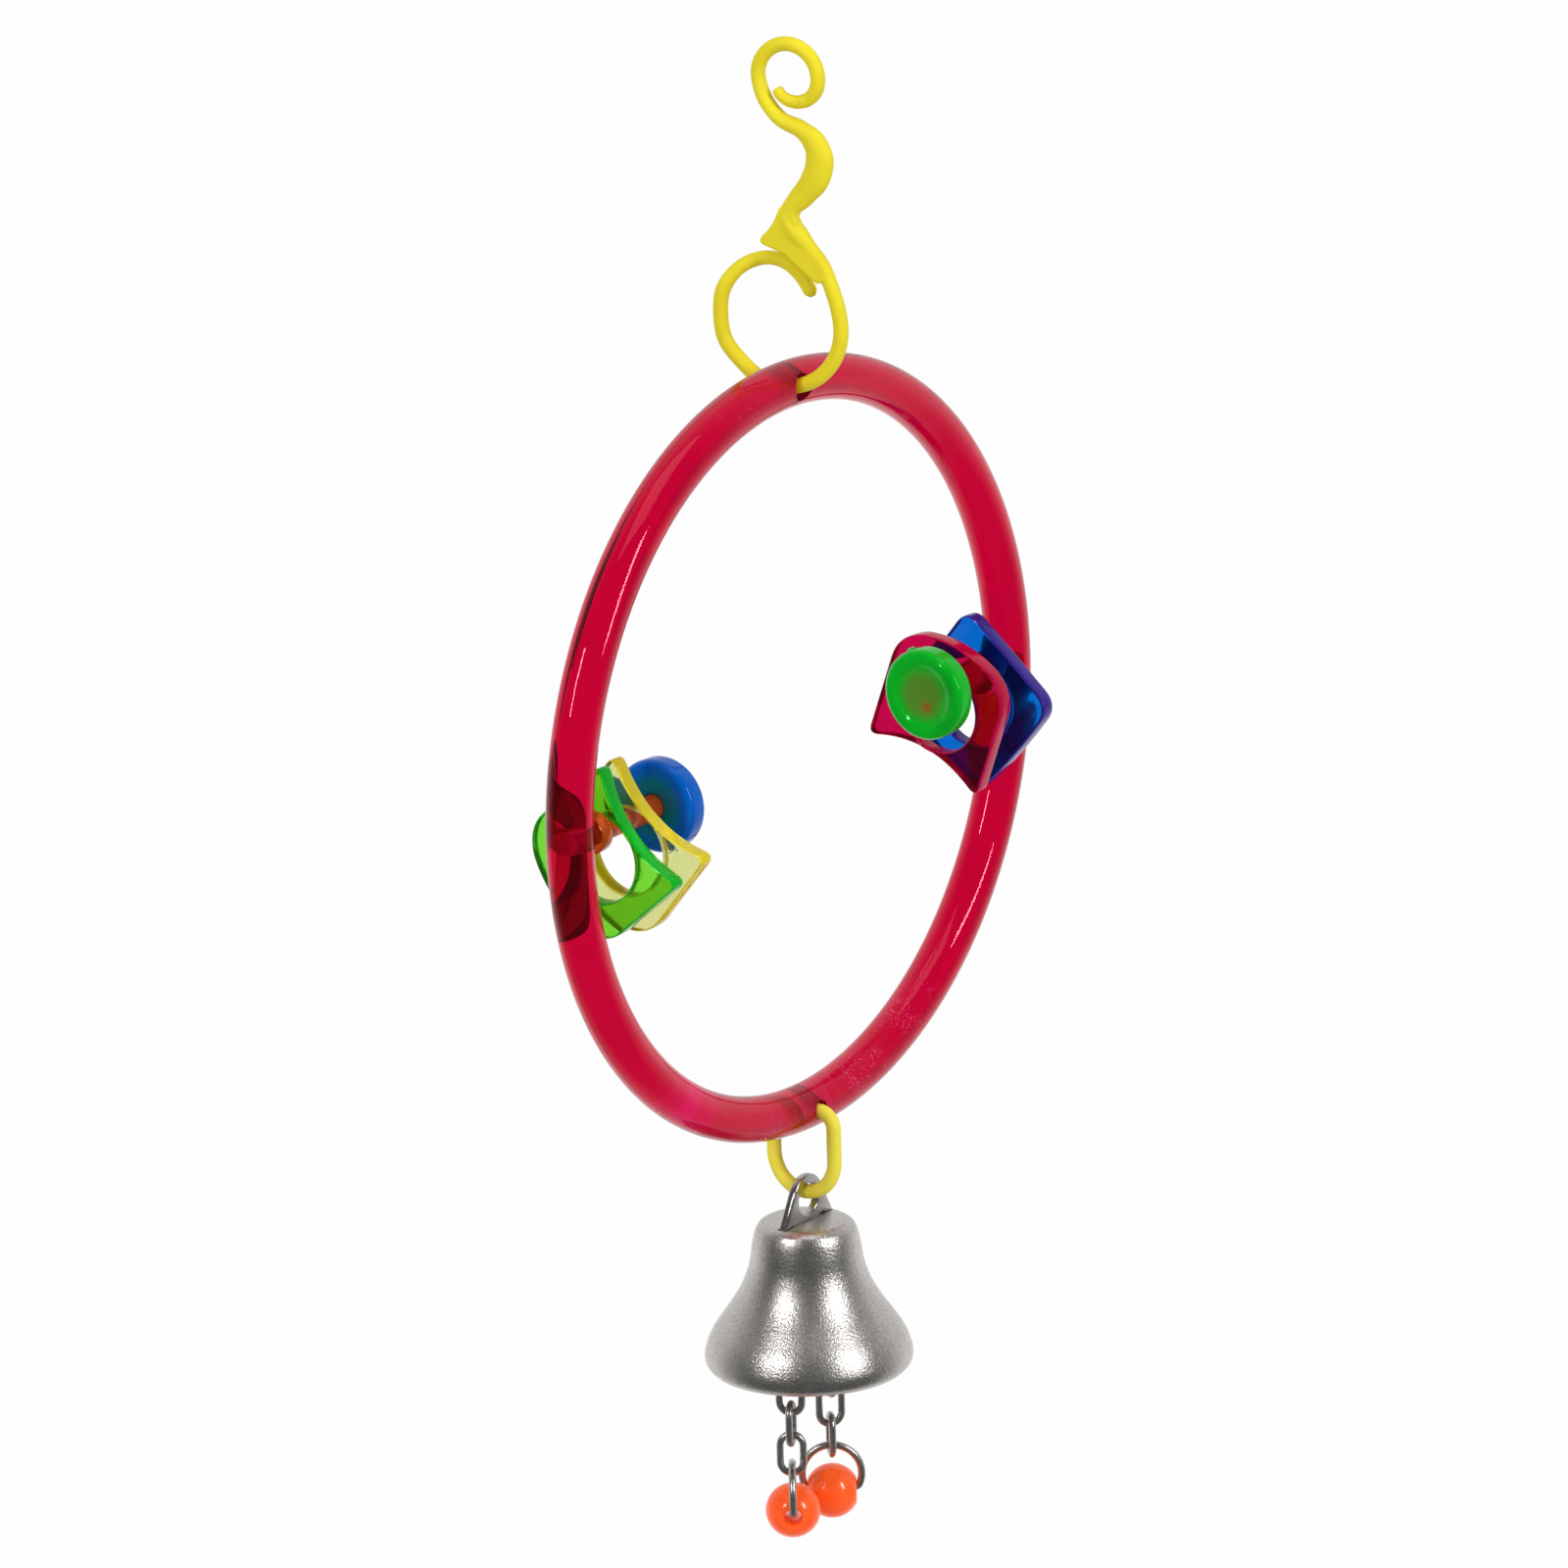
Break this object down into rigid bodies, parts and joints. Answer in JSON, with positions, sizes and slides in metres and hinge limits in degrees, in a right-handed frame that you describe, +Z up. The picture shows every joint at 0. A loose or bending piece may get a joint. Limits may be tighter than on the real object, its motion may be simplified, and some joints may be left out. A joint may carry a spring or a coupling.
{
  "type": "bird perch ring",
  "caption": "Hanging acrylic perch ring for a small cage bird, with a snap hook, loose spinning plates on posts inside the ring, and a bell with beaded chains below it.",
  "frame": {"origin": "where the cage bar carries the hook, at the top inside of its pigtail; the load line through the loop, the ring and the bell runs 1.9 mm beside it", "axes": "+Z up, parallel to the load line; the ring lies in the XZ plane with its posts along X; +Y square to the ring, away from the pictured side"},
  "size_m": [0.135, 0.0362, 0.2629],
  "materials": {
    "yellow_plastic": "waxy semi-matte",
    "crimson_acrylic": "polished translucent",
    "orange_acrylic": "polished translucent",
    "pink_acrylic": "polished translucent",
    "green_acrylic": "polished translucent",
    "yellow_acrylic": "polished translucent",
    "blue_acrylic": "polished translucent",
    "red_acrylic": "polished translucent",
    "satin_metal": "fine satin grain",
    "bright_steel": "bright wire",
    "orange_bead": "gloss"
  },
  "bodies": {
    "hanging_hook": {"hanging_hook": "yellow_plastic"},
    "ring_frame": {"perch_ring": "crimson_acrylic", "left_post": "orange_acrylic", "left_cap": "blue_acrylic", "right_post": "pink_acrylic", "right_cap": "green_acrylic"},
    "left_green_plate": {"left_green_plate": "green_acrylic"},
    "left_yellow_plate": {"left_yellow_plate": "yellow_acrylic"},
    "right_blue_plate": {"right_blue_plate": "blue_acrylic"},
    "right_red_plate": {"right_red_plate": "red_acrylic"},
    "bell_link": {"bell_link": "yellow_plastic"},
    "bell": {"bell_shell": "satin_metal", "bell_hanger": "bright_steel"},
    "chain_a_link_1": {"chain_a_link_1": "bright_steel"},
    "chain_a_link_2": {"chain_a_link_2": "bright_steel"},
    "chain_a_link_3": {"chain_a_link_3": "bright_steel"},
    "chain_a_link_4": {"chain_a_link_4": "bright_steel"},
    "chain_a_link_5": {"chain_a_link_5": "bright_steel"},
    "chain_a_link_6": {"chain_a_link_6": "bright_steel"},
    "chain_a_link_7": {"chain_a_link_7": "bright_steel"},
    "bead_bail_a": {"bead_bail_a": "bright_steel"},
    "bead_a": {"bead_a": "orange_bead"},
    "chain_b_link_1": {"chain_b_link_1": "bright_steel"},
    "chain_b_link_2": {"chain_b_link_2": "bright_steel"},
    "chain_b_link_3": {"chain_b_link_3": "bright_steel"},
    "chain_b_link_4": {"chain_b_link_4": "bright_steel"},
    "chain_b_link_5": {"chain_b_link_5": "bright_steel"},
    "chain_b_link_6": {"chain_b_link_6": "bright_steel"},
    "chain_b_link_7": {"chain_b_link_7": "bright_steel"},
    "bead_bail_b": {"bead_bail_b": "bright_steel"},
    "bead_b": {"bead_b": "orange_bead"}
  },
  "joints": [
    {"name": "ring_swing", "type": "hinge", "parent": "hanging_hook", "child": "ring_frame", "pos_m": [-0.00033, 0.00187, -0.04705], "axis": [0.9848, 0.1736, 0], "range_deg": [-25, 25]},
    {"name": "left_green_plate_spin", "type": "hinge", "parent": "ring_frame", "child": "left_green_plate", "pos_m": [-0.05487, 0.00187, -0.12092], "axis": [1, 0, 0], "continuous": true},
    {"name": "left_yellow_plate_spin", "type": "hinge", "parent": "ring_frame", "child": "left_yellow_plate", "pos_m": [-0.04977, 0.00187, -0.12092], "axis": [1, 0, 0], "continuous": true},
    {"name": "right_blue_plate_spin", "type": "hinge", "parent": "ring_frame", "child": "right_blue_plate", "pos_m": [0.05368, 0.00187, -0.12092], "axis": [1, 0, 0], "continuous": true},
    {"name": "right_red_plate_spin", "type": "hinge", "parent": "ring_frame", "child": "right_red_plate", "pos_m": [0.04618, 0.00187, -0.12092], "axis": [1, 0, 0], "continuous": true},
    {"name": "bell_link_swing", "type": "hinge", "parent": "ring_frame", "child": "bell_link", "pos_m": [-0.00033, 0.00187, -0.18462], "axis": [0, 1, 0], "range_deg": [-55, 55]},
    {"name": "bell_swing", "type": "hinge", "parent": "bell_link", "child": "bell", "pos_m": [-0.00033, 0.00187, -0.19342], "axis": [1, 0, 0], "range_deg": [-45, 45]},
    {"name": "chain_a_link_1_swing", "type": "hinge", "parent": "bell", "child": "chain_a_link_1", "pos_m": [-0.00613, 0.00187, -0.21044], "axis": [1, 0, 0], "range_deg": [-16, 16]},
    {"name": "chain_a_link_2_swing", "type": "hinge", "parent": "chain_a_link_1", "child": "chain_a_link_2", "pos_m": [-0.00613, 0.00187, -0.21619], "axis": [0, 1, 0], "range_deg": [-2, 10]},
    {"name": "chain_a_link_3_swing", "type": "hinge", "parent": "chain_a_link_2", "child": "chain_a_link_3", "pos_m": [-0.00613, 0.00187, -0.22164], "axis": [0.996, 0.0896, 0], "range_deg": [-8, 8]},
    {"name": "chain_a_link_4_swing", "type": "hinge", "parent": "chain_a_link_3", "child": "chain_a_link_4", "pos_m": [-0.00613, 0.00187, -0.22709], "axis": [-0.1786, 0.9839, 0], "range_deg": [-2.5, 10]},
    {"name": "chain_a_link_5_swing", "type": "hinge", "parent": "chain_a_link_4", "child": "chain_a_link_5", "pos_m": [-0.00613, 0.00187, -0.23254], "axis": [0.964, 0.266, 0], "range_deg": [-15, 15]},
    {"name": "chain_a_link_6_swing", "type": "hinge", "parent": "chain_a_link_5", "child": "chain_a_link_6", "pos_m": [-0.00613, 0.00187, -0.23799], "axis": [-0.3514, 0.9362, 0], "range_deg": [-4, 18]},
    {"name": "chain_a_link_7_swing", "type": "hinge", "parent": "chain_a_link_6", "child": "chain_a_link_7", "pos_m": [-0.00613, 0.00187, -0.24344], "axis": [0.901, 0.4339, 0], "range_deg": [-18, 18]},
    {"name": "bead_bail_a_swing", "type": "hinge", "parent": "chain_a_link_7", "child": "bead_bail_a", "pos_m": [-0.00613, 0.00187, -0.24889], "axis": [-0.5129, 0.8584, 0], "range_deg": [-8, 20]},
    {"name": "bead_a_spin", "type": "hinge", "parent": "bead_bail_a", "child": "bead_a", "pos_m": [-0.00613, 0.00187, -0.25572], "axis": [0.809, 0.5878, 0], "continuous": true},
    {"name": "chain_b_link_1_swing", "type": "hinge", "parent": "bell", "child": "chain_b_link_1", "pos_m": [0.00547, 0.00187, -0.21044], "axis": [1, 0, 0], "range_deg": [-16, 16]},
    {"name": "chain_b_link_2_swing", "type": "hinge", "parent": "chain_b_link_1", "child": "chain_b_link_2", "pos_m": [0.00547, 0.00187, -0.21619], "axis": [0, 1, 0], "range_deg": [-10, 2]},
    {"name": "chain_b_link_3_swing", "type": "hinge", "parent": "chain_b_link_2", "child": "chain_b_link_3", "pos_m": [0.00547, 0.00187, -0.22164], "axis": [0.991, -0.1342, 0], "range_deg": [-8, 8]},
    {"name": "chain_b_link_4_swing", "type": "hinge", "parent": "chain_b_link_3", "child": "chain_b_link_4", "pos_m": [0.00547, 0.00187, -0.22709], "axis": [0.266, 0.964, 0], "range_deg": [-10, 2.5]},
    {"name": "chain_b_link_5_swing", "type": "hinge", "parent": "chain_b_link_4", "child": "chain_b_link_5", "pos_m": [0.00547, 0.00187, -0.23254], "axis": [0.9195, -0.393, 0], "range_deg": [-15, 15]},
    {"name": "chain_b_link_6_swing", "type": "hinge", "parent": "chain_b_link_5", "child": "chain_b_link_6", "pos_m": [0.00547, 0.00187, -0.23799], "axis": [0.5129, 0.8584, 0], "range_deg": [-18, 4]},
    {"name": "chain_b_link_7_swing", "type": "hinge", "parent": "chain_b_link_6", "child": "chain_b_link_7", "pos_m": [0.00547, 0.00187, -0.24344], "axis": [0.7818, -0.6235, 0], "range_deg": [-18, 18]},
    {"name": "bead_bail_b_swing", "type": "hinge", "parent": "chain_b_link_7", "child": "bead_bail_b", "pos_m": [0.00547, 0.00187, -0.24889], "axis": [0.7228, 0.6911, 0], "range_deg": [-20, 8]},
    {"name": "bead_b_spin", "type": "hinge", "parent": "bead_bail_b", "child": "bead_b", "pos_m": [0.00547, 0.00187, -0.25572], "axis": [0.5878, -0.809, 0], "continuous": true}
  ]
}
